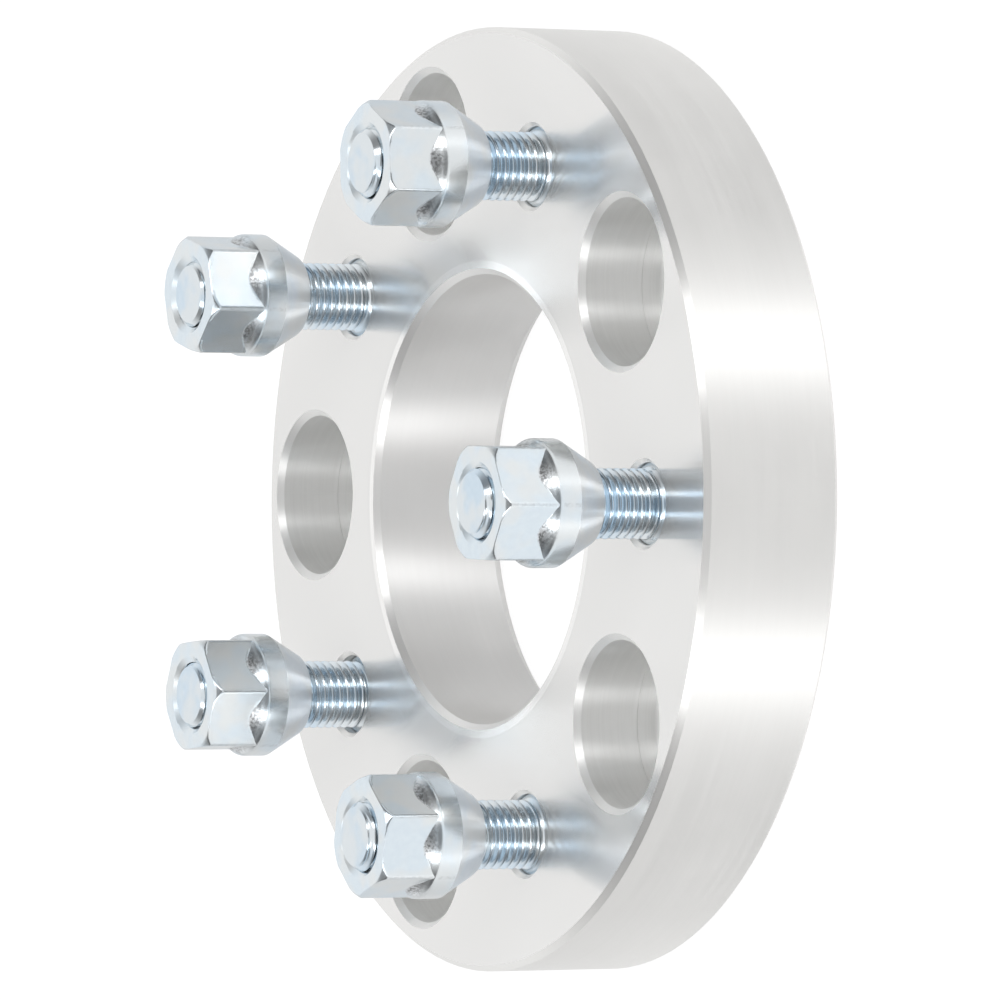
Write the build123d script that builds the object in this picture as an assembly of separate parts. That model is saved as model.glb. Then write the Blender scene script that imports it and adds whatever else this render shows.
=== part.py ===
"""Hub-centric wheel spacer with its own wheel studs and lug nuts.

One turned and machined aluminium ring goes between a car's hub and its wheel. It bolts
to the hub through five deep socket wells with conical seats, and carries the wheel on
five pressed-in studs. A bulge lug nut is parked at the tip of each stud.

Millimetres. +Z runs along the axis, from the hub side to the wheel side. The origin is
the centre of the back face, and +X points at the first stud.
"""

import math
import os

from build123d import *

# Ring
plate_diameter = 164.0
plate_thickness = 25.4
hub_bore_diameter = 78.3
rim_front_chamfer = 1.0
rim_back_chamfer = 0.8
bore_front_chamfer = 1.0
bore_back_chamfer = 2.3

# Both patterns have one hole at each station, and lie half a step apart
station_count = 5

# Holes that hold the ring to the hub
hub_bolt_circle = 127.0
well_diameter = 28.6
well_depth = 16.0
well_mouth_chamfer = 1.0
well_corner_radius = 0.8
seat_diameter = 21.0
seat_cone_angle = 60.0
hub_hole_diameter = 14.6
hub_hole_back_chamfer = 0.5

# Pressed-in wheel studs
wheel_bolt_circle = 120.65
thread_diameter = 12.0
thread_reach = 32.7
stud_tip_diameter = 9.6
knurl_diameter = 14.0
knurl_depth = 0.4
knurl_tooth_count = 32
knurl_end_below_face = 1.5
shoulder_above_knurl = 1.6
stud_head_diameter = 20.0
stud_head_thickness = 5.0
stud_head_edge_radius = 0.8

# The ring's side of each stud
stud_mouth_chamfer = 0.7
head_pocket_diameter = 22.0
head_pocket_depth = 11.4
head_pocket_chamfer = 0.5
press_clearance = 0.01

# Open-ended bulge lug nuts, measured down from the front face
nut_across_flats = 18.8
nut_face_diameter = 19.5
nut_front_chamfer_angle = 43.0
nut_countersink_diameter = 14.2
nut_countersink_angle = 110.0
nut_collar_diameter = 21.7
nut_collar_end = 14.25
nut_collar_width = 4.1
nut_shoulder_radius = 1.8
nut_bulge_slope = 40.0
nut_knee_diameter = 19.9
nut_knee_radius = 3.0
nut_foot_slope = 22.0
nut_foot_depth = 0.3
nut_cone_angle = 60.0
nut_nose_diameter = 14.0
nut_nose_radius = 1.2
thread_clearance = 0.05

# Station by station: how far the stud is short of fully home, how far its tip stands
# past its nut's face, and the direction of one corner of the nut
stud_short_of_home = [0.0, 0.0, 0.0, 0.9, 0.0]
stud_proud_of_nut = [0.9, 0.7, 0.0, 0.2, 1.0]
nut_corner_angle = [-1.0, 33.4, 46.3, 5.7, 21.2]

plate_radius = plate_diameter / 2
hub_bore_radius = hub_bore_diameter / 2
well_radius = well_diameter / 2
well_floor = plate_thickness - well_depth
seat_radius = seat_diameter / 2
hub_hole_radius = hub_hole_diameter / 2
thread_radius = thread_diameter / 2
knurl_radius = knurl_diameter / 2
stud_hole_radius = knurl_radius + press_clearance
stud_tip = plate_thickness + thread_reach
station_step = 360 / station_count


def turned(profile):
    """Turn a closed profile, drawn as radius and height, about the Z axis."""
    return revolve(Plane.XZ * profile, Axis.Z)


def closed_profile(points):
    """Close a run of (radius, height) points into a face."""
    return make_face(Polyline(*points, close=True))


def round_corner(profile, corner, radius):
    """Round the corner of a profile that lies at the given point."""
    return fillet(profile.vertices().sort_by_distance(corner)[0], radius)


def at_stations(bolt_circle, first_angle):
    """Places on a bolt circle, one for each station."""
    return PolarLocations(bolt_circle / 2, station_count, first_angle)


def ring_blank():
    """The turned ring, with its rim and bore edges chamfered."""
    return turned(
        closed_profile(
            [
                (hub_bore_radius + bore_back_chamfer, 0),
                (plate_radius - rim_back_chamfer, 0),
                (plate_radius, rim_back_chamfer),
                (plate_radius, plate_thickness - rim_front_chamfer),
                (plate_radius - rim_front_chamfer, plate_thickness),
                (hub_bore_radius + bore_front_chamfer, plate_thickness),
                (hub_bore_radius, plate_thickness - bore_front_chamfer),
                (hub_bore_radius, bore_back_chamfer),
            ]
        )
    )


def hub_hole_cutter():
    """Socket well, conical nut seat and through hole, as one turned tool."""
    seat_depth = (seat_radius - hub_hole_radius) / math.tan(math.radians(seat_cone_angle / 2))
    corner = (well_radius, well_floor)
    profile = closed_profile(
        [
            (0, 0),
            (hub_hole_radius + hub_hole_back_chamfer, 0),
            (hub_hole_radius, hub_hole_back_chamfer),
            (hub_hole_radius, well_floor - seat_depth),
            (seat_radius, well_floor),
            corner,
            (well_radius, plate_thickness - well_mouth_chamfer),
            (well_radius + well_mouth_chamfer, plate_thickness),
            (0, plate_thickness),
        ]
    )
    return turned(round_corner(profile, corner, well_corner_radius))


def stud_hole_cutter():
    """Press hole for a stud, with a pocket for its head in the back face."""
    return turned(
        closed_profile(
            [
                (0, 0),
                (head_pocket_diameter / 2 + head_pocket_chamfer, 0),
                (head_pocket_diameter / 2, head_pocket_chamfer),
                (head_pocket_diameter / 2, head_pocket_depth),
                (stud_hole_radius, head_pocket_depth),
                (stud_hole_radius, plate_thickness - stud_mouth_chamfer),
                (stud_hole_radius + stud_mouth_chamfer, plate_thickness),
                (0, plate_thickness),
            ]
        )
    )


def spacer_plate():
    """The ring with its two patterns of holes."""
    plate = ring_blank()
    plate -= at_stations(hub_bolt_circle, station_step / 2) * hub_hole_cutter()
    plate -= at_stations(wheel_bolt_circle, 0) * stud_hole_cutter()
    return plate


def knurl_section():
    """Serrated length that bites into the ring, with a tooth at each even step."""
    step = math.pi / knurl_tooth_count
    rim = []
    for index in range(2 * knurl_tooth_count):
        radius = knurl_radius - knurl_depth * (index % 2)
        rim.append((radius * math.cos(index * step), radius * math.sin(index * step)))
    length = plate_thickness - knurl_end_below_face - head_pocket_depth
    return Pos(0, 0, head_pocket_depth) * extrude(make_face(Polyline(*rim, close=True)), length)


def wheel_stud():
    """Stud on the Z axis: head in its pocket, serrated length, shoulder and thread."""
    head_bottom = head_pocket_depth - stud_head_thickness
    head_corner = (stud_head_diameter / 2, head_bottom)
    knurl_root_radius = knurl_radius - knurl_depth
    knurl_end = plate_thickness - knurl_end_below_face
    profile = closed_profile(
        [
            (0, head_bottom),
            head_corner,
            (stud_head_diameter / 2, head_pocket_depth),
            (knurl_root_radius, head_pocket_depth),
            (knurl_root_radius, knurl_end),
            (thread_radius, knurl_end + shoulder_above_knurl),
            (thread_radius, stud_tip - (thread_radius - stud_tip_diameter / 2)),
            (stud_tip_diameter / 2, stud_tip),
            (0, stud_tip),
        ]
    )
    blank = turned(round_corner(profile, head_corner, stud_head_edge_radius))
    return blank + knurl_section()


def nut_hexagon(length):
    """Hexagon below the front face, its corners cut back by the front chamfer."""
    corner_radius = nut_across_flats / 2 / math.cos(math.radians(30))
    face_radius = nut_face_diameter / 2
    chamfer_depth = (corner_radius - face_radius) * math.tan(math.radians(nut_front_chamfer_angle))
    prism = Pos(0, 0, -length) * extrude(RegularPolygon(corner_radius, 6), length)
    envelope = closed_profile(
        [
            (0, -length),
            (corner_radius, -length),
            (corner_radius, -chamfer_depth),
            (face_radius, 0),
            (0, 0),
        ]
    )
    return prism & turned(envelope)


def nut_collar_and_cone():
    """Bulge, collar and conical seat, turned about the nut's axis."""
    collar_radius = nut_collar_diameter / 2
    knee_radius = nut_knee_diameter / 2
    foot_radius = nut_across_flats / 2 - nut_foot_depth
    shoulder = (collar_radius, nut_collar_width - nut_collar_end)
    knee_rise = (collar_radius - knee_radius) / math.tan(math.radians(nut_bulge_slope))
    knee = (knee_radius, shoulder[1] + knee_rise)
    foot_rise = (knee_radius - foot_radius) / math.tan(math.radians(nut_foot_slope))
    bulge_start = knee[1] + foot_rise
    nose = (nut_nose_diameter / 2, nut_bottom())
    profile = closed_profile(
        [
            (0, bulge_start),
            (foot_radius, bulge_start),
            knee,
            shoulder,
            (collar_radius, -nut_collar_end),
            nose,
            (0, nut_bottom()),
        ]
    )
    profile = round_corner(profile, knee, nut_knee_radius)
    profile = round_corner(profile, shoulder, nut_shoulder_radius)
    return turned(round_corner(profile, nose, nut_nose_radius))


def nut_bottom():
    """Height of the cone's small end below the nut's front face."""
    cone_drop = (nut_collar_diameter - nut_nose_diameter) / 2
    return -nut_collar_end - cone_drop / math.tan(math.radians(nut_cone_angle / 2))


def nut_bore():
    """Threaded hole at the thread's outer diameter, countersunk at the front face."""
    bore_radius = thread_radius + thread_clearance
    countersink_radius = nut_countersink_diameter / 2
    half_angle = math.radians(nut_countersink_angle / 2)
    countersink_depth = (countersink_radius - bore_radius) / math.tan(half_angle)
    return turned(
        closed_profile(
            [
                (0, nut_bottom()),
                (bore_radius, nut_bottom()),
                (bore_radius, -countersink_depth),
                (countersink_radius, 0),
                (0, 0),
            ]
        )
    )


def lug_nut():
    """Nut with the centre of its front face at the origin and a corner on +X."""
    hexagon_length = nut_collar_end - nut_collar_width / 2
    return nut_hexagon(hexagon_length) + nut_collar_and_cone() - nut_bore()


def write_node(name, shape):
    """Save one piece under its own name."""
    export_step(shape, f"parts/{name}.step")


def write_all():
    """Build the ring, then a stud and its parked nut at each station."""
    os.makedirs("parts", exist_ok=True)
    write_node("spacer_plate", spacer_plate())
    stud = wheel_stud()
    nut = lug_nut()
    for index, station in enumerate(at_stations(wheel_bolt_circle, 0)):
        stud_place = station * Pos(0, 0, -stud_short_of_home[index])
        nut_face = stud_tip - stud_proud_of_nut[index]
        nut_turn = nut_corner_angle[index] - index * station_step
        nut_place = stud_place * Pos(0, 0, nut_face) * Rot(0, 0, nut_turn)
        write_node(f"wheel_stud_{index + 1}", stud_place * stud)
        write_node(f"lug_nut_{index + 1}", nut_place * nut)


write_all()
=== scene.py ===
"""Looks of the wheel spacer: turned aluminium, zinc-plated studs and forged lug nuts.

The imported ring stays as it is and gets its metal. Each stud and nut is a finer skin of
the same form, with its thread cut and its forged edges, in place of the plain solid.
Sizes are in millimetres and become metres where Blender takes them.
"""

import math

import bmesh
import bpy
import numpy as np
from mathutils import Matrix, Vector


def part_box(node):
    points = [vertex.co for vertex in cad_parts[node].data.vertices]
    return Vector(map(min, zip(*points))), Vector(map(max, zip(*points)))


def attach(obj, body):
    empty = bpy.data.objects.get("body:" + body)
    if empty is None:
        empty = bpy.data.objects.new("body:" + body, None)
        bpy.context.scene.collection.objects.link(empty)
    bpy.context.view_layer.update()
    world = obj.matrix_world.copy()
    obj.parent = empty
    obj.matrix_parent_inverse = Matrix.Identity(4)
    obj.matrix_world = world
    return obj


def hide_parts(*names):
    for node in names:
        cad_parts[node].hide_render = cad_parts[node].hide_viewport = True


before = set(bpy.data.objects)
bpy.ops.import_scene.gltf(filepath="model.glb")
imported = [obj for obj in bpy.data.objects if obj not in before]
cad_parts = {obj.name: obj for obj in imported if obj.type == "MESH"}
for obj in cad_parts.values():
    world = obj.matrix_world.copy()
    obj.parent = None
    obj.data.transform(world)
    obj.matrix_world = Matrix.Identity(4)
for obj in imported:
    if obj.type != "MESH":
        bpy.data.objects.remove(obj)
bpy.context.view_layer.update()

MM = 0.001
FULL_TURN = 2 * math.pi

# Stations of the two hole patterns
STATION_COUNT = 5
STATION_STEP = 360 / STATION_COUNT
WELL_CIRCLE_RADIUS = 63.5
STUD_CIRCLE_RADIUS = 60.325

# How far the ring's machined surfaces reach, from their own axis or above the back face,
# each with a little to spare
BORE_REACH = 41.5
WELL_REACH = 15.32
WELL_MOUTH_HEIGHT = 24.42
STUD_HOLE_REACH = 7.72
HEAD_POCKET_REACH = 11.52
HEAD_POCKET_TOP = 12.0
BACK_FACE_REACH = 0.02

# Where the boring tool stopped, partway down each well
TOOL_STEP_HEIGHT = 13.4
TOOL_STEP_WIDTH = 0.25
TOOL_STEP_DEPTH = 0.12

# Studs, with heights above the ring's back face before the stud's own shift
THREAD_PITCH = 1.5
THREAD_RADIUS = 5.98
THREAD_START = 24.6
THREAD_FADE = 1.5
STUD_TIP = 58.1
STUD_TIP_RADIUS = 4.95
STUD_TIP_EDGE = 0.05
STUD_COLUMNS = 128
KNURL_TEETH = 32
KNURL_RADIUS = 7.0
KNURL_DEPTH = 0.4
KNURL_END = 23.9
FLARE_RADIUS = 6.9
FLARE_START = 24.15
FLARE_END = 25.6
HEAD_RADIUS = 10.0
HEAD_BOTTOM = 6.4
HEAD_TOP = 11.4
HEAD_EDGE_RADIUS = 0.8

# Thread from crest to root: phase in turns, and depth below the crest
THREAD_PHASES = [0, 0.05, 0.085, 0.18, 0.28, 0.375, 0.43, 0.5]
THREAD_DEPTHS = [0, 0.01, 0.06, 0.31, 0.57, 0.80, 0.89, 0.92]

# Nuts, with depths below the front face
NUT_FLAT_RADIUS = 9.4
NUT_CORNER_ROUNDING = 0.8
NUT_CHAMFER_RADII = [9.7, 10.05, 10.85]
NUT_CHAMFER_DROPS = [0.0, 0.22, 1.3]
NUT_COUNTERSINK_RADIUS = 7.1
NUT_COUNTERSINK_SLOPE = math.tan(math.radians(55))
NUT_COLLAR_RADIUS = 10.85
NUT_COLLAR_END = 14.25
NUT_COLLAR_EDGE = 0.18
NUT_NOSE_RADIUS = 7.0
NUT_NOSE_ROUNDING = 1.2
NUT_CONE_SLOPE = math.tan(math.radians(30))
NUT_LENGTH = NUT_COLLAR_END + (NUT_COLLAR_RADIUS - NUT_NOSE_RADIUS) / NUT_CONE_SLOPE
NUT_FOOT_RADIUS = 9.1
NUT_FOOT_SLOPE = math.tan(math.radians(22))
NUT_KNEE_RADIUS = 9.95
NUT_KNEE_ROUNDING = 3.0
NUT_BULGE_SLOPE = math.tan(math.radians(40))
NUT_SHOULDER = 10.15
NUT_SHOULDER_ROUNDING = 1.8
NUT_THREAD_CLEARANCE = 0.08
NUT_MOUTH_RADIUS = 6.3
NUT_EDGE = 0.12

# Direction of one corner of each nut, in degrees from the first stud's side
NUT_CORNER_ANGLES = [-1.0, 33.4, 46.3, 5.7, 21.2]

# Grid of a nut's mesh: columns in degrees from a corner, and rows by their radius on
# the front chamfer, by their share of the way down a flat, and by count on the bulge
HEXAGON_SIDES = 6
NUT_SECTOR = 360 / HEXAGON_SIDES
NUT_COLUMNS = [0, 0.7, 1.4, 2.1, 3.0, 4.5, 7, 10, 14, 18, 22, 26, 30]
NUT_CHAMFER_ROWS = [9.55, 9.7, 9.87, 10.05, 10.25, 10.45, 10.85]
NUT_FLAT_ROWS = [0.0, 0.06, 0.35, 0.65, 0.94]
NUT_BULGE_ROWS = 16

# Marks on each row of a nut, from 0 where it is bright to 1 where it is dull and dark: the
# forging's rough pits, and painted shade in the crease and the scallop below it
CHAMFER_MARK = 0.1
FLAT_MARK = 0.2
CREASE_MARK = 0.8
SCALLOP_MARK = 1.0
BULGE_END_MARK = 0.4
COLLAR_MARKS = [0.2, 0.2, 0.1]

# Rows with more than the least mark are scalloped, and fade toward the corners, while
# the corners of the other rows are worn
LEAST_SCALLOP_MARK = 0.3
SCALLOP_CORNER_SHARE = 0.35
WORN_CORNER_MARK = 0.3
WORN_CORNER_SHARES = [0.06, 0.1]

# Points closer than this become one, and edges sharper than this angle stay sharp
MERGE_DISTANCE = 0.001
SHARP_ANGLE = math.radians(38)


def fillet(before, corner, after, radius, steps=5):
    """Points of an arc that rounds a corner of a (radius, height) profile."""
    before, corner, after = (np.array(point, float) for point in (before, corner, after))
    back = (before - corner) / np.linalg.norm(before - corner)
    ahead = (after - corner) / np.linalg.norm(after - corner)
    half_angle = math.acos(float(np.clip(back @ ahead, -1, 1))) / 2
    bisector = (back + ahead) / np.linalg.norm(back + ahead)
    centre = corner + bisector * radius / math.sin(half_angle)
    start = corner + back * radius / math.tan(half_angle) - centre
    end = corner + ahead * radius / math.tan(half_angle) - centre
    points = []
    for share in np.linspace(0, 1, steps):
        spoke = start * (1 - share) + end * share
        points.append(tuple(centre + spoke * radius / np.linalg.norm(spoke)))
    return points


def thread_phase_depth(turns):
    """Depth below the crest at a phase in turns, where a whole number is a crest."""
    return np.interp(np.abs(turns - np.round(turns)), THREAD_PHASES, THREAD_DEPTHS)


def thread_rows(low, high, angles):
    """Heights of rows that follow a right-hand thread, cut off at a low and a high end."""
    rise = THREAD_PITCH * angles / FULL_TURN
    phases = THREAD_PHASES + [1 - phase for phase in THREAD_PHASES[-2:0:-1]]
    first = math.floor(low / THREAD_PITCH) - 1
    last = math.ceil(high / THREAD_PITCH)
    rows = []
    for turn in range(first, last + 1):
        for phase in phases:
            rows.append(np.clip((turn + phase) * THREAD_PITCH + rise, low, high))
    return rows


def skin(name, angles, rows, marks=None):
    """Closed mesh through rows of (radius, height) over the columns' angles."""
    radius = np.array([np.broadcast_to(row[0], angles.shape) for row in rows], float)
    height = np.array([np.broadcast_to(row[1], angles.shape) for row in rows], float)
    points = np.stack([radius * np.cos(angles), radius * np.sin(angles), height], -1)
    index = np.arange(radius.size).reshape(radius.shape)
    corners = [index[:-1, :-1], index[:-1, 1:], index[1:, 1:], index[1:, :-1]]
    faces = np.stack(corners, -1).reshape(-1, 4)
    mesh = bpy.data.meshes.new(name)
    mesh.from_pydata((points.reshape(-1, 3) * MM).tolist(), [], faces.tolist())
    if marks is not None:
        forged = mesh.attributes.new("forged", "FLOAT", "POINT")
        forged.data.foreach_set("value", np.array(marks, np.float32).ravel())
    shell = bmesh.new()
    shell.from_mesh(mesh)
    bmesh.ops.remove_doubles(shell, verts=shell.verts, dist=MERGE_DISTANCE * MM)
    bmesh.ops.recalc_face_normals(shell, faces=shell.faces)
    shell.to_mesh(mesh)
    shell.free()
    mesh.polygons.foreach_set("use_smooth", [True] * len(mesh.polygons))
    mesh.set_sharp_from_angle(angle=SHARP_ANGLE)
    return mesh


def stud_mesh():
    """Stud on its own axis: head, knurl, flared shoulder and rolled thread."""
    angles = np.linspace(0, FULL_TURN, STUD_COLUMNS + 1)
    tooth = np.abs((angles * KNURL_TEETH / FULL_TURN + 0.5) % 1 - 0.5) * 2
    knurl = KNURL_RADIUS - KNURL_DEPTH * tooth
    bottom_corner = (HEAD_RADIUS, HEAD_BOTTOM)
    rows = [(0.0, HEAD_BOTTOM), (HEAD_RADIUS / 2, HEAD_BOTTOM)]
    rows += fillet((0, HEAD_BOTTOM), bottom_corner, (HEAD_RADIUS, HEAD_TOP), HEAD_EDGE_RADIUS)
    rows += [(HEAD_RADIUS, HEAD_TOP), (knurl, HEAD_TOP), (knurl, KNURL_END)]
    for height in thread_rows(FLARE_START, STUD_TIP - STUD_TIP_EDGE, angles):
        turns = (height - STUD_TIP) / THREAD_PITCH - angles / FULL_TURN
        run_in = np.clip((height - THREAD_START) / THREAD_FADE, 0, 1)
        fall = np.clip((height - FLARE_START) / (FLARE_END - FLARE_START), 0, 1)
        flare = FLARE_RADIUS + (THREAD_RADIUS - FLARE_RADIUS) * np.sin(fall * math.pi / 2)
        radius = flare - thread_phase_depth(turns) * run_in
        tip_chamfer = STUD_TIP_RADIUS + STUD_TIP - height
        rows.append((np.minimum(radius, tip_chamfer), height))
    for inset in (STUD_TIP_EDGE, 3 * STUD_TIP_EDGE, STUD_TIP_RADIUS / 2, STUD_TIP_RADIUS):
        rows.append((STUD_TIP_RADIUS - inset, STUD_TIP))
    return skin("stud", angles, rows)


def nut_angles():
    """Column angles that crowd at the hexagon's corners, with a corner at zero."""
    sector = NUT_COLUMNS + [NUT_SECTOR - angle for angle in NUT_COLUMNS[-2:0:-1]]
    whole = [side * NUT_SECTOR + angle for side in range(HEXAGON_SIDES) for angle in sector]
    return np.radians(np.array(whole + [HEXAGON_SIDES * NUT_SECTOR]))


def angle_from_corner(angles):
    """Angle from each column to the nearest corner of the hexagon."""
    half_sector = math.radians(NUT_SECTOR / 2)
    return np.abs((angles + half_sector) % (2 * half_sector) - half_sector)


def hexagon_radius(angles):
    """Distance from the axis to the flats and rounded corners of the hexagon."""
    half_sector = math.radians(NUT_SECTOR / 2)
    from_corner = angle_from_corner(angles)
    flat = NUT_FLAT_RADIUS / np.cos(half_sector - from_corner)
    centre = (NUT_FLAT_RADIUS - NUT_CORNER_ROUNDING) / math.cos(half_sector)
    inside = NUT_CORNER_ROUNDING**2 - (centre * np.sin(from_corner)) ** 2
    round_part = centre * np.cos(from_corner) + np.sqrt(np.maximum(inside, 0))
    tangent = math.atan2(
        NUT_CORNER_ROUNDING * math.sin(half_sector),
        centre + NUT_CORNER_ROUNDING * math.cos(half_sector),
    )
    return np.where(from_corner < tangent, round_part, flat)


def chamfer_height(radius):
    """Height of the front chamfer, which falls in two slopes."""
    return -np.interp(radius, NUT_CHAMFER_RADII, NUT_CHAMFER_DROPS)


def bulge_profile():
    """Turned profile that swells from inside the hexagon to the collar, by rising radius."""
    collar_back = (NUT_COLLAR_RADIUS, -NUT_COLLAR_END)
    shoulder = (NUT_COLLAR_RADIUS, -NUT_SHOULDER)
    knee_drop = (NUT_COLLAR_RADIUS - NUT_KNEE_RADIUS) / NUT_BULGE_SLOPE
    knee = (NUT_KNEE_RADIUS, knee_drop - NUT_SHOULDER)
    foot_drop = (NUT_KNEE_RADIUS - NUT_FOOT_RADIUS) / NUT_FOOT_SLOPE
    foot = (NUT_FOOT_RADIUS, knee[1] + foot_drop)
    profile = [foot]
    profile += fillet(foot, knee, shoulder, NUT_KNEE_ROUNDING, steps=9)
    profile += fillet(knee, shoulder, collar_back, NUT_SHOULDER_ROUNDING, steps=9)
    return np.array(profile).T


def nut_face_rows():
    """Flat of the front face, from the countersink outward."""
    return [(NUT_COUNTERSINK_RADIUS, 0.0), (NUT_COUNTERSINK_RADIUS + NUT_EDGE, 0.0)]


def nut_chamfer_rows(hexagon):
    """Front chamfer, which ends in a soft edge short of the flats."""
    rows = []
    for reach in NUT_CHAMFER_ROWS:
        rim = hexagon - NUT_EDGE
        if reach < NUT_CHAMFER_RADII[0]:
            rim = rim - NUT_EDGE
        radius = np.minimum(rim, reach)
        rows.append((radius, chamfer_height(radius)))
    return rows


def nut_flat_rows(hexagon, crease):
    """Flats and corners, from the chamfer's soft edge down to the bulge's crease."""
    top = chamfer_height(hexagon) - NUT_EDGE
    return [(hexagon, top + (crease - top) * share) for share in NUT_FLAT_ROWS]


def nut_bulge_rows(crease, radii, heights):
    """Bulge, from just below its scalloped crease to its full width."""
    rows = []
    for share in np.linspace(0, 1, NUT_BULGE_ROWS + 1)[1:]:
        height = crease + (heights[-1] - crease) * share
        rows.append((np.interp(-height, -heights, radii), height))
    return rows


def nut_back_rows(full_width_height):
    """Collar with its rear edge, conical seat and rounded nose."""
    collar_front = (NUT_COLLAR_RADIUS, 0)
    collar_back = (NUT_COLLAR_RADIUS, -NUT_COLLAR_END)
    nose = (NUT_NOSE_RADIUS, -NUT_LENGTH)
    rows = [(NUT_COLLAR_RADIUS, full_width_height - NUT_EDGE)]
    rows += fillet(collar_front, collar_back, nose, NUT_COLLAR_EDGE, steps=4)
    rows += fillet(collar_back, nose, (0, -NUT_LENGTH), NUT_NOSE_ROUNDING, steps=8)
    return rows + [(NUT_MOUTH_RADIUS, -NUT_LENGTH)]


def nut_bore_rows(angles):
    """Thread, opened by a chamfer at the nose and by the countersink at the front."""
    rows = []
    for height in thread_rows(-NUT_LENGTH, 0.0, angles):
        turns = height / THREAD_PITCH - angles / FULL_TURN
        groove = THREAD_RADIUS + NUT_THREAD_CLEARANCE - thread_phase_depth(turns)
        mouth = NUT_MOUTH_RADIUS - (height + NUT_LENGTH)
        countersink = NUT_COUNTERSINK_RADIUS + height * NUT_COUNTERSINK_SLOPE
        rows.append((np.maximum(np.maximum(groove, mouth), countersink), height))
    return rows


def forging_and_shade_marks(angles, row_marks):
    """Marks over the whole mesh: dull scallops under the flats, darkened with painted shade, and
    worn corners.
    """
    from_corner = angle_from_corner(angles) / math.radians(NUT_SECTOR / 2)
    scallop = SCALLOP_CORNER_SHARE + (1 - SCALLOP_CORNER_SHARE) * from_corner
    worn = np.interp(from_corner, WORN_CORNER_SHARES, [WORN_CORNER_MARK, 0])
    marks = []
    for mark in row_marks:
        marks.append(mark * scallop if mark > LEAST_SCALLOP_MARK else mark + worn)
    return marks


def nut_mesh():
    """Nut with its front face at height zero and a corner along its own X axis."""
    angles = nut_angles()
    hexagon = hexagon_radius(angles)
    bulge_radii, bulge_heights = bulge_profile()
    crease = np.interp(hexagon, bulge_radii, bulge_heights)

    rows = nut_face_rows()
    row_marks = [0.0] * len(rows)
    rows += nut_chamfer_rows(hexagon)
    row_marks += [CHAMFER_MARK] * len(NUT_CHAMFER_ROWS)
    rows += nut_flat_rows(hexagon, crease)
    row_marks += [FLAT_MARK] * len(NUT_FLAT_ROWS)
    # The crease row and the scallop rows below it get the highest marks, which paint shade into
    # them
    rows.append((hexagon, crease))
    row_marks.append(CREASE_MARK)
    rows += nut_bulge_rows(crease, bulge_radii, bulge_heights)
    row_marks += list(np.linspace(SCALLOP_MARK, BULGE_END_MARK, NUT_BULGE_ROWS + 1)[1:])
    rows += nut_back_rows(bulge_heights[-1])
    row_marks += COLLAR_MARKS
    rows += nut_bore_rows(angles)
    rows.append(rows[0])
    row_marks += [0.0] * (len(rows) - len(row_marks))

    mesh = skin("nut", angles, rows, forging_and_shade_marks(angles, row_marks))
    cone_top = -(NUT_COLLAR_END + NUT_COLLAR_EDGE / 2) * MM
    for polygon in mesh.polygons:
        outward = polygon.normal.xy.dot(polygon.center.xy) > 0
        polygon.material_index = int(outward and polygon.center.z < cone_top)
    return mesh


class Nodes:
    """Short hand for building a node tree, where a value is a number or another socket."""

    def __init__(self, tree):
        self.tree = tree
        tree.nodes.clear()

    def add(self, kind, inputs=(), **settings):
        """A node with its settings and the values of its inputs."""
        node = self.tree.nodes.new(kind)
        for name, value in settings.items():
            setattr(node, name, value)
        for slot, value in dict(inputs).items():
            if isinstance(value, bpy.types.NodeSocket):
                self.tree.links.new(value, node.inputs[slot])
            else:
                node.inputs[slot].default_value = value
        return node

    def math(self, operation, *values):
        return self.add("ShaderNodeMath", enumerate(values), operation=operation).outputs[0]

    def vector(self, operation, *values):
        """Vector arithmetic whose result is a vector."""
        node = self.add("ShaderNodeVectorMath", enumerate(values), operation=operation)
        return node.outputs["Vector"]

    def measure(self, operation, *values):
        """Vector arithmetic whose result is a number."""
        node = self.add("ShaderNodeVectorMath", enumerate(values), operation=operation)
        return node.outputs["Value"]

    def combine(self, x, y, z):
        return self.add("ShaderNodeCombineXYZ", enumerate((x, y, z))).outputs[0]

    def separate(self, value):
        return self.add("ShaderNodeSeparateXYZ", {0: value}).outputs

    def ramp(self, value, low, high, out_low=0.0, out_high=1.0):
        """Smooth step from one value to another."""
        inputs = {0: value, 1: low, 2: high, 3: out_low, 4: out_high}
        return self.add("ShaderNodeMapRange", inputs, interpolation_type="SMOOTHSTEP").outputs[0]

    def choose(self, share, first, second):
        """The first number where the share is 0 and the second where it is 1."""
        inputs = {0: share, 2: first, 3: second}
        return self.add("ShaderNodeMix", inputs, data_type="FLOAT").outputs[0]

    def choose_vector(self, share, first, second):
        inputs = {0: share, 4: first, 5: second}
        return self.add("ShaderNodeMix", inputs, data_type="VECTOR").outputs[1]

    def choose_color(self, share, first, second):
        inputs = {0: share, 6: first, 7: second}
        return self.add("ShaderNodeMix", inputs, data_type="RGBA").outputs[2]

    def noise(self, vector, scale, detail, roughness=0.5):
        inputs = {"Vector": vector, "Scale": scale, "Detail": detail, "Roughness": roughness}
        return self.add("ShaderNodeTexNoise", inputs, noise_dimensions="3D").outputs[0]


def new_material(name):
    """An empty material and its nodes."""
    material = bpy.data.materials.new(name)
    material.use_nodes = True
    return material, Nodes(material.node_tree)


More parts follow.
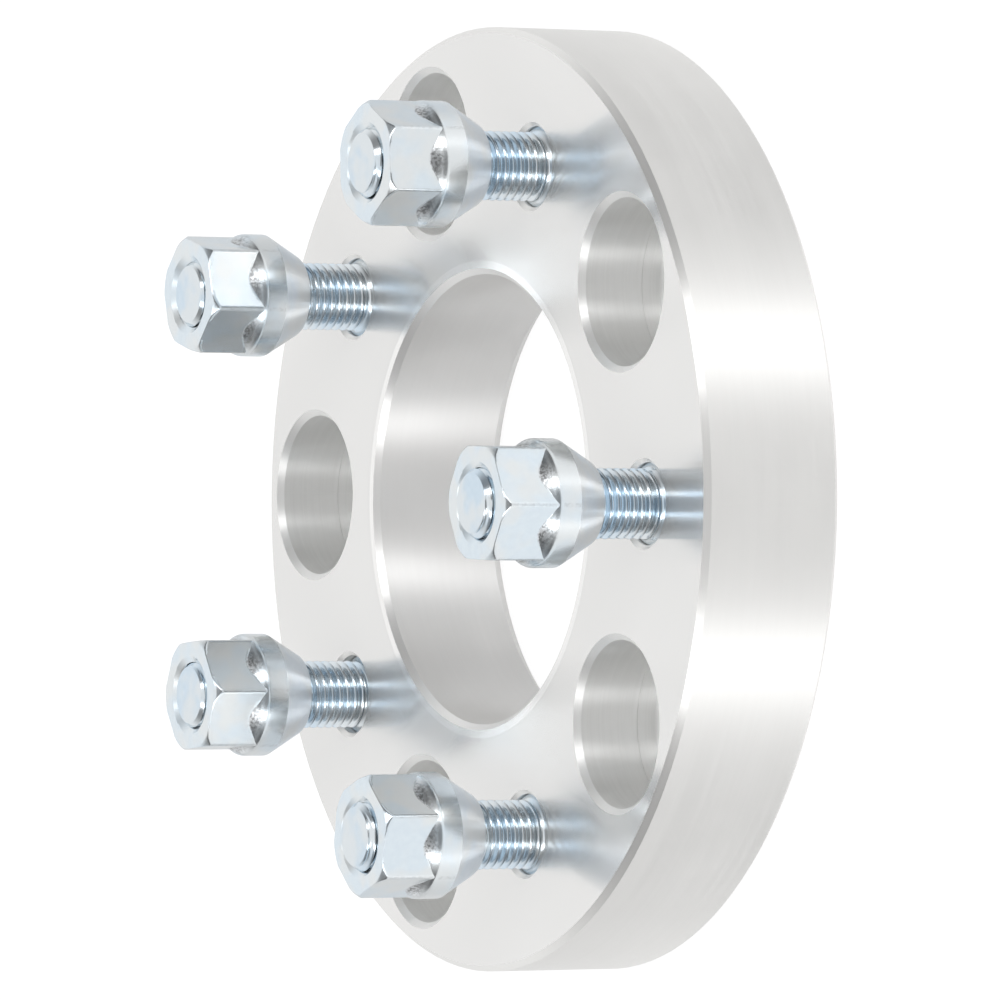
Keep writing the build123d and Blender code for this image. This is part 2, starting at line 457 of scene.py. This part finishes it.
def nearest_axis(nodes, position, circle_radius, first_angle):
    """Vector from the nearest hole's axis in a pattern of evenly spaced holes."""
    x, y, _ = nodes.separate(position)
    step = math.radians(STATION_STEP)
    first = math.radians(first_angle)
    angle = nodes.math("ARCTAN2", y, x)
    count = nodes.math("ROUND", nodes.math("DIVIDE", nodes.math("SUBTRACT", angle, first), step))
    centre_angle = nodes.math("MULTIPLY_ADD", count, step, first)
    across = nodes.math("MULTIPLY", nodes.math("COSINE", centre_angle), circle_radius * MM)
    up = nodes.math("MULTIPLY", nodes.math("SINE", centre_angle), circle_radius * MM)
    return nodes.combine(nodes.math("SUBTRACT", x, across), nodes.math("SUBTRACT", y, up), 0.0)


# Turned aluminium: the two colors of each surface's tool lines, its roughness, and how
# much the lines and a broad cloud change that. The wells' colors are lightened past the
# metal's own as painted light against the shade inside them.
FACE_COLORS = ((0.82, 0.815, 0.805, 1), (0.86, 0.855, 0.845, 1))
WALL_COLORS = ((0.87, 0.865, 0.85, 1), (0.93, 0.925, 0.91, 1))
WELL_LIGHTENED_COLORS = ((0.83, 0.83, 0.82, 1), (1.0, 1.0, 0.99, 1))
BORE_COLORS = ((0.91, 0.905, 0.895, 1), (0.97, 0.965, 0.955, 1))
FACE_ROUGHNESS = 0.18
RIM_ROUGHNESS = 0.38
BORE_ROUGHNESS = 0.41
WELL_ROUGHNESS = 0.40
WELL_MOUTH_ROUGHNESS = 0.48
FACE_LINE_DEPTH = 0.02
WALL_LINE_DEPTH = 0.10
WELL_LINE_DEPTH = 0.20
CLOUD_DEPTH = 0.06

# How much of the light on the face and in the wells is mirrored, and not spread
FACE_METALLIC = 0.74

# Upright part of a normal from which a surface begins to count as flat, and counts fully
FLAT_NORMAL = (0.85, 0.99)

# Patterns on the ring: repeats per metre and detail, and how the two kinds of line mix
FINE_LINES = (3200.0, 2.0)
COARSE_LINES = (900.0, 3.0)
RING_CLOUDS = (90.0, 2.0)
NOISE_MEAN = 0.5
FINE_SHARE = 0.5

# Stretch of the highlights across the lines that turning leaves, and its turn from the
# tangent in full turns
TURNED_STRETCH = 0.92
ACROSS_TANGENT = 0.25


def tool_lines(nodes, direction, along, repeats, detail):
    """Noise drawn out into lines around an axis, so many to a metre of the surface."""
    turn_x, turn_y, _ = nodes.separate(direction)
    place = nodes.combine(nodes.math("MULTIPLY", along, repeats), turn_x, turn_y)
    return nodes.noise(place, 1.0, detail)


def turned_aluminium():
    """Machined aluminium: each surface is grained around the axis it was turned on."""
    material, nodes = new_material("turned_aluminium")
    position = nodes.add("ShaderNodeTexCoord").outputs["Object"]
    normal = nodes.add("ShaderNodeNewGeometry").outputs["Normal"]
    x, y, z = nodes.separate(position)
    around = nodes.combine(x, y, 0.0)
    from_well = nearest_axis(nodes, position, WELL_CIRCLE_RADIUS, STATION_STEP / 2)
    from_stud = nearest_axis(nodes, position, STUD_CIRCLE_RADIUS, 0.0)
    off_back = nodes.math("GREATER_THAN", z, BACK_FACE_REACH * MM)
    in_well = nodes.math("LESS_THAN", nodes.measure("LENGTH", from_well), WELL_REACH * MM)
    in_well = nodes.math("MULTIPLY", in_well, off_back)
    past_pocket = nodes.math("GREATER_THAN", z, HEAD_POCKET_TOP * MM)
    stud_reach = nodes.choose(past_pocket, HEAD_POCKET_REACH * MM, STUD_HOLE_REACH * MM)
    in_stud_hole = nodes.math("LESS_THAN", nodes.measure("LENGTH", from_stud), stud_reach)
    in_stud_hole = nodes.math("MULTIPLY", in_stud_hole, off_back)
    spoke = nodes.choose_vector(in_well, around, from_well)
    spoke = nodes.choose_vector(in_stud_hole, spoke, from_stud)
    spoke_x, spoke_y, _ = nodes.separate(spoke)
    grain = nodes.combine(nodes.math("MULTIPLY", spoke_y, -1.0), spoke_x, 0.0)
    across_grain = nodes.vector("NORMALIZE", nodes.vector("CROSS_PRODUCT", normal, grain))

    direction = nodes.vector("NORMALIZE", spoke)
    along = nodes.math("SUBTRACT", nodes.measure("LENGTH", spoke), z)
    fine = tool_lines(nodes, direction, along, *FINE_LINES)
    coarse = tool_lines(nodes, direction, along, *COARSE_LINES)
    cloud = nodes.noise(position, *RING_CLOUDS)

    facing = nodes.ramp(nodes.math("ABSOLUTE", nodes.separate(normal)[2]), *FLAT_NORMAL)
    in_bore = nodes.math("LESS_THAN", nodes.measure("LENGTH", around), BORE_REACH * MM)
    in_mouth = nodes.math("GREATER_THAN", z, WELL_MOUTH_HEIGHT * MM)
    roughness = nodes.choose(in_bore, RIM_ROUGHNESS, BORE_ROUGHNESS)
    roughness = nodes.choose(facing, roughness, FACE_ROUGHNESS)
    well_roughness = nodes.choose(in_mouth, WELL_ROUGHNESS, WELL_MOUTH_ROUGHNESS)
    roughness = nodes.choose(in_well, roughness, well_roughness)
    line_depth = nodes.choose(in_well, WALL_LINE_DEPTH, WELL_LINE_DEPTH)
    line_depth = nodes.choose(facing, line_depth, FACE_LINE_DEPTH)
    ripple = nodes.math("SUBTRACT", coarse, NOISE_MEAN)
    roughness = nodes.math("MULTIPLY_ADD", ripple, line_depth, roughness)
    haze = nodes.math("MULTIPLY_ADD", cloud, CLOUD_DEPTH, -CLOUD_DEPTH / 2)
    roughness = nodes.math("ADD", roughness, haze)

    tone = nodes.choose(FINE_SHARE, coarse, fine)
    face_color = nodes.choose_color(tone, *FACE_COLORS)
    wall_color = nodes.choose_color(tone, *WALL_COLORS)
    color = nodes.choose_color(facing, wall_color, face_color)
    # Painted light: the wells take lighter colors to make up for their shade
    color = nodes.choose_color(in_well, color, nodes.choose_color(tone, *WELL_LIGHTENED_COLORS))
    color = nodes.choose_color(in_bore, color, nodes.choose_color(tone, *BORE_COLORS))
    metallic = nodes.choose(nodes.math("MAXIMUM", facing, in_well), 1.0, FACE_METALLIC)

    step_end = TOOL_STEP_HEIGHT + TOOL_STEP_WIDTH
    tool_step = nodes.ramp(z, TOOL_STEP_HEIGHT * MM, step_end * MM)
    tool_step = nodes.math("MULTIPLY", tool_step, in_well)
    step_inputs = {"Strength": 1.0, "Distance": TOOL_STEP_DEPTH * MM, "Height": tool_step}
    bump = nodes.add("ShaderNodeBump", step_inputs)
    shader = nodes.add(
        "ShaderNodeBsdfPrincipled",
        {
            "Base Color": color,
            "Metallic": metallic,
            "Roughness": roughness,
            "Anisotropic": TURNED_STRETCH,
            "Tangent": across_grain,
            "Normal": bump.outputs[0],
        },
    )
    nodes.add("ShaderNodeOutputMaterial", {"Surface": shader.outputs[0]})
    return material


# Zinc plating: the two colors of its mottling, and its least and most roughness
THREAD_COLORS = ((0.58, 0.70, 0.80, 1), (0.68, 0.78, 0.87, 1))
FORGING_COLORS = ((0.68, 0.765, 0.835, 1), (0.77, 0.845, 0.895, 1))
CONE_COLORS = ((0.70, 0.775, 0.85, 1), (0.80, 0.86, 0.92, 1))
THREAD_ROUGHNESS = (0.12, 0.20)
FORGING_ROUGHNESS = (0.17, 0.25)
CONE_ROUGHNESS = (0.28, 0.34)

# Warm stains, and the dull pitted scallops that the forging left, whose dark colors are partly
# painted shade
STAIN_COLOR = (0.81, 0.815, 0.80, 1)
STAIN_SPREAD = (0.40, 0.62)
STAIN_STRENGTH = 0.6
DULL_SHADE_COLORS = ((0.28, 0.285, 0.29, 1), (0.70, 0.72, 0.74, 1))
DULL_SHADE_MARKS = (0.35, 0.9)
DULL_ROUGHNESS = 0.10
PIT_SPREAD = (0.42, 0.56)
PIT_RELIEF = 0.8
MOTTLE_RELIEF = 0.2
RELIEF_STRENGTH = 0.2
RELIEF_DEPTH = 0.03

# Patterns on the zinc: repeats per metre, detail, and the pits' roughness
ZINC_CLOUDS = (220.0, 4.0)
STAINS = (130.0, 2.0)
MOTTLES = (900.0, 3.0)
PITS = (2000.0, 2.0, 0.6)


def zinc_plate(name, colors, roughness_range, turned=False):
    """Bluish clear zinc over steel, turned or as forged, and dull and darkened with painted
    shade where a mark says so.
    """
    material, nodes = new_material(name)
    position = nodes.add("ShaderNodeTexCoord").outputs["Object"]
    chance = nodes.add("ShaderNodeObjectInfo").outputs["Random"]
    place = nodes.vector("ADD", position, nodes.combine(chance, chance, 0.0))
    forged = nodes.add("ShaderNodeAttribute", attribute_name="forged").outputs["Fac"]
    dullness_and_shade = nodes.ramp(forged, *DULL_SHADE_MARKS)
    cloud = nodes.noise(place, *ZINC_CLOUDS)
    stain = nodes.ramp(nodes.noise(place, *STAINS), *STAIN_SPREAD, 0.0, STAIN_STRENGTH)
    mottle = nodes.noise(place, *MOTTLES)
    pits = nodes.ramp(nodes.noise(place, *PITS), *PIT_SPREAD)

    roughness = nodes.choose(cloud, *roughness_range)
    roughness = nodes.math("MULTIPLY_ADD", dullness_and_shade, DULL_ROUGHNESS, roughness)
    color = nodes.choose_color(mottle, *colors)
    color = nodes.choose_color(stain, color, STAIN_COLOR)
    # Painted shade: the dark colors stand in for the shade in the crease and scallops, along
    # with their real pits
    color = nodes.choose_color(dullness_and_shade, color, nodes.choose_color(pits, *DULL_SHADE_COLORS))

    mottle_relief = nodes.math("MULTIPLY", mottle, MOTTLE_RELIEF)
    dull_pits = nodes.math("MULTIPLY", pits, dullness_and_shade)
    relief = nodes.math("MULTIPLY_ADD", dull_pits, PIT_RELIEF, mottle_relief)
    bump_inputs = {"Strength": RELIEF_STRENGTH, "Distance": RELIEF_DEPTH * MM, "Height": relief}
    bump = nodes.add("ShaderNodeBump", bump_inputs)
    inputs = {
        "Base Color": color,
        "Metallic": 1.0,
        "Roughness": roughness,
        "Normal": bump.outputs[0],
    }
    if turned:
        tangent = nodes.add("ShaderNodeTangent", direction_type="RADIAL", axis="Z")
        inputs["Anisotropic"] = TURNED_STRETCH
        inputs["Anisotropic Rotation"] = ACROSS_TANGENT
        inputs["Tangent"] = tangent.outputs[0]
    shader = nodes.add("ShaderNodeBsdfPrincipled", inputs)
    nodes.add("ShaderNodeOutputMaterial", {"Surface": shader.outputs[0]})
    return material


def place_piece(name, mesh, centre, height, turn, node):
    """One copy of a mesh at its station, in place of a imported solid."""
    piece = bpy.data.objects.new(name, mesh)
    bpy.context.scene.collection.objects.link(piece)
    piece.location = (centre.x, centre.y, height)
    piece.rotation_euler = (0, 0, turn)
    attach(piece, "root")
    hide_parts(node)


def dress_stations():
    """A threaded stud and its parked nut at each station, where the frame has them."""
    stud_skin = stud_mesh()
    nut_skin = nut_mesh()
    stud_skin.materials.append(zinc_plate("zinc_thread", THREAD_COLORS, THREAD_ROUGHNESS))
    nut_skin.materials.append(zinc_plate("zinc_forging", FORGING_COLORS, FORGING_ROUGHNESS))
    nut_skin.materials.append(zinc_plate("zinc_turned", CONE_COLORS, CONE_ROUGHNESS, True))
    for index in range(STATION_COUNT):
        stud_node = f"wheel_stud_{index + 1}"
        nut_node = f"lug_nut_{index + 1}"
        low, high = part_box(stud_node)
        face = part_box(nut_node)[1].z
        centre = (low + high) / 2
        nut_turn = math.radians(NUT_CORNER_ANGLES[index])
        # The stud is turned until its crests lie in the nut's grooves
        proud_turns = (high.z - face) / (THREAD_PITCH * MM)
        stud_turn = nut_turn + FULL_TURN * proud_turns
        stud_height = high.z - STUD_TIP * MM
        stud_name = f"rolled_stud_{index + 1}"
        place_piece(stud_name, stud_skin, centre, stud_height, stud_turn, stud_node)
        place_piece(f"forged_nut_{index + 1}", nut_skin, centre, face, nut_turn, nut_node)


def dress_ring():
    """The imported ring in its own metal."""
    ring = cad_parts["spacer_plate"]
    ring.data.materials.clear()
    ring.data.materials.append(turned_aluminium())


# Camera: angles between the part's axes and the picture in degrees, places in
# millimetres, and its lens by the picture's pixels
CAMERA_YAW = 62.319
CAMERA_TILT = -0.149
CAMERA_ROLL = -0.265
CAMERA_PHASE = -0.733
CAMERA_DISTANCE = 1548.03
CAMERA_ACROSS = -18.573
CAMERA_UP = -0.004
FOCAL_PIXELS = 8842.19
PICTURE_PIXELS = 1000
SENSOR_WIDTH = 36.0


def add_camera():
    """Camera beside the first stud, turned so that the part's axis runs across the picture."""
    to_camera = (
        Matrix.Rotation(math.radians(CAMERA_ROLL), 3, "Z")
        @ Matrix.Rotation(math.radians(CAMERA_TILT), 3, "X")
        @ Matrix.Rotation(math.radians(-CAMERA_YAW), 3, "Y")
        @ Matrix.Rotation(math.radians(CAMERA_PHASE), 3, "Z")
    )
    to_world = to_camera.transposed()
    place = to_world @ Vector((CAMERA_ACROSS, CAMERA_UP, CAMERA_DISTANCE)) * MM
    data = bpy.data.cameras.new("camera")
    data.sensor_width = SENSOR_WIDTH
    data.lens = FOCAL_PIXELS * SENSOR_WIDTH / PICTURE_PIXELS
    camera = bpy.data.objects.new("camera", data)
    bpy.context.scene.collection.objects.link(camera)
    camera.matrix_world = Matrix.Translation(place) @ to_world.to_4x4()
    bpy.context.scene.camera = camera


# Floor, in metres, and how light it is to the camera and as the metal mirrors it
FLOOR_SIZE = 6.0
FLOOR_SEEN_LEVEL = 0.88
FLOOR_MIRRORED_FRONT = 0.72
FLOOR_MIRRORED_BACK = 0.46
FLOOR_BACK_TO_FRONT = (-0.04, 0.07)
FLOOR_SHADED_COLOR = 0.22
FLOOR_GLOSS_COLOR = 0.14
FLOOR_GLOSS_ROUGHNESS = 0.35


def white_floor():
    """White that takes a faint shadow, has its own level in mirrors, and is clear from below."""
    material, nodes = new_material("white_floor")
    shaded = nodes.add("ShaderNodeBsdfDiffuse", {"Color": (FLOOR_SHADED_COLOR,) * 3 + (1,)})
    path = nodes.add("ShaderNodeLightPath").outputs
    seen = nodes.math("MULTIPLY", path["Is Camera Ray"], FLOOR_SEEN_LEVEL)
    in_metal = nodes.math("MAXIMUM", path["Is Glossy Ray"], path["Is Transmission Ray"])
    x = nodes.separate(nodes.add("ShaderNodeTexCoord").outputs["Object"])[0]
    mirrored = nodes.ramp(x, *FLOOR_BACK_TO_FRONT, FLOOR_MIRRORED_BACK, FLOOR_MIRRORED_FRONT)
    mirrored = nodes.math("MULTIPLY", in_metal, mirrored)
    glow = nodes.add("ShaderNodeEmission", {"Strength": nodes.math("ADD", seen, mirrored)})
    both = nodes.add("ShaderNodeAddShader", {0: shaded.outputs[0], 1: glow.outputs[0]})
    gloss_level = nodes.math("MULTIPLY", in_metal, FLOOR_GLOSS_COLOR)
    gloss_color = nodes.combine(gloss_level, gloss_level, gloss_level)
    gloss_inputs = {"Color": gloss_color, "Roughness": FLOOR_GLOSS_ROUGHNESS}
    gloss = nodes.add("ShaderNodeBsdfGlossy", gloss_inputs)
    both = nodes.add("ShaderNodeAddShader", {0: both.outputs[0], 1: gloss.outputs[0]})
    clear = nodes.add("ShaderNodeBsdfTransparent")
    below = nodes.add("ShaderNodeNewGeometry").outputs["Backfacing"]
    surface_inputs = {0: below, 1: both.outputs[0], 2: clear.outputs[0]}
    surface = nodes.add("ShaderNodeMixShader", surface_inputs)
    nodes.add("ShaderNodeOutputMaterial", {"Surface": surface.outputs[0]})
    return material


def add_floor():
    """Floor under the part, which lies on its back face."""
    half = FLOOR_SIZE / 2
    corners = [(-half, -half, 0), (half, -half, 0), (half, half, 0), (-half, half, 0)]
    mesh = bpy.data.meshes.new("floor")
    mesh.from_pydata(corners, [], [(0, 1, 2, 3)])
    mesh.materials.append(white_floor())
    floor = bpy.data.objects.new("floor", mesh)
    bpy.context.scene.collection.objects.link(floor)


# Light of the surroundings by direction from the part, where a level of 1 is white
BACKDROP_LEVEL = 0.97
FRONT_LEVEL = 0.76
SIDE_LEVEL = 0.30
LOW_SIDE_LEVEL = 0.14
CAMERA_SIDE_LEVEL = 0.27
CEILING_LEVEL = 0.95
PANEL_LEVEL = 3.2
PANEL_TOP_LEVEL = 1.3
CAMERA_DIRECTION = (0.886, 0.0, 0.4645)

# Where one level passes into the next, by the direction's x or z or by its angle
LOW_TO_HIGH_SIDE = (0.30, 0.55)
FRONT_TO_SIDE = (math.radians(40), math.radians(78))
BACKDROP_TO_SIDE = (-0.80, -0.02)
TOWARD_CAMERA = (0.84, 0.94)
SIDE_TO_CEILING = (0.84, 0.95)
CEILING_LEAN_FRONT = 0.08
CEILING_LEAN_BACK = -0.35

# Bright panel on each side: the plane that it lies in, its width beside that plane, and
# its ends by the direction's x and z
PANEL_NORMAL = (0.524, -0.831, 0.188)
PANEL_SHIFT = 0.03
PANEL_HALF_WIDTH = 0.09
PANEL_TOP_HALF_WIDTH = 0.05
PANEL_SOFTNESS = 0.05
PANEL_FOOT = (0.02, 0.12)
PANEL_REAR = (-0.08, 0.02)
PANEL_TAPER = (0.78, 0.97)
PANEL_TOP = (0.90, 0.97)


def room_level(nodes, direction):
    """White backdrop and ceiling, a light front, and dim sides and camera side."""
    x, y, z = nodes.separate(direction)
    azimuth = nodes.math("ARCTAN2", nodes.math("ABSOLUTE", y), x)
    beside = nodes.ramp(z, *LOW_TO_HIGH_SIDE, LOW_SIDE_LEVEL, SIDE_LEVEL)
    level = nodes.choose(nodes.ramp(azimuth, *FRONT_TO_SIDE), FRONT_LEVEL, beside)
    level = nodes.choose(nodes.ramp(x, *BACKDROP_TO_SIDE), BACKDROP_LEVEL, level)
    to_camera = nodes.measure("DOT_PRODUCT", direction, CAMERA_DIRECTION)
    level = nodes.choose(nodes.ramp(to_camera, *TOWARD_CAMERA), level, CAMERA_SIDE_LEVEL)
    lean_front = nodes.math("MULTIPLY", x, CEILING_LEAN_FRONT)
    lean_back = nodes.math("MULTIPLY", x, CEILING_LEAN_BACK)
    overhead = nodes.math("ADD", z, nodes.math("MAXIMUM", lean_front, lean_back))
    return nodes.choose(nodes.ramp(overhead, *SIDE_TO_CEILING), level, CEILING_LEVEL)


def add_panels(nodes, direction, level):
    """A long bright panel on each side, narrower and dimmer toward the top."""
    x, y, z = nodes.separate(direction)
    one_side = nodes.combine(x, nodes.math("ABSOLUTE", y), z)
    aside = nodes.measure("DOT_PRODUCT", one_side, PANEL_NORMAL)
    off_panel = nodes.math("ABSOLUTE", nodes.math("ADD", aside, PANEL_SHIFT))
    inner = nodes.ramp(z, *PANEL_TAPER, PANEL_HALF_WIDTH, PANEL_TOP_HALF_WIDTH)
    outer = nodes.math("ADD", inner, PANEL_SOFTNESS)
    panel = nodes.ramp(off_panel, inner, outer, 1.0, 0.0)
    panel = nodes.math("MULTIPLY", panel, nodes.ramp(z, *PANEL_FOOT))
    panel = nodes.math("MULTIPLY", panel, nodes.ramp(x, *PANEL_REAR))
    panel_level = nodes.ramp(z, *PANEL_TOP, PANEL_LEVEL, PANEL_TOP_LEVEL)
    return nodes.choose(panel, level, panel_level)


def add_world():
    """Studio around the part, which the camera itself sees as plain white."""
    world = bpy.data.worlds.new("studio")
    bpy.context.scene.world = world
    world.use_nodes = True
    nodes = Nodes(world.node_tree)
    direction = nodes.add("ShaderNodeTexCoord").outputs["Generated"]
    level = add_panels(nodes, direction, room_level(nodes, direction))
    seen = nodes.add("ShaderNodeLightPath").outputs["Is Camera Ray"]
    level = nodes.choose(seen, level, 1.0)
    background = nodes.add("ShaderNodeBackground", {"Color": (1, 1, 1, 1), "Strength": level})
    nodes.add("ShaderNodeOutputWorld", {"Surface": background.outputs[0]})


dress_ring()
dress_stations()
add_camera()
add_floor()
add_world()

bpy.context.scene.view_settings.view_transform = "Standard"
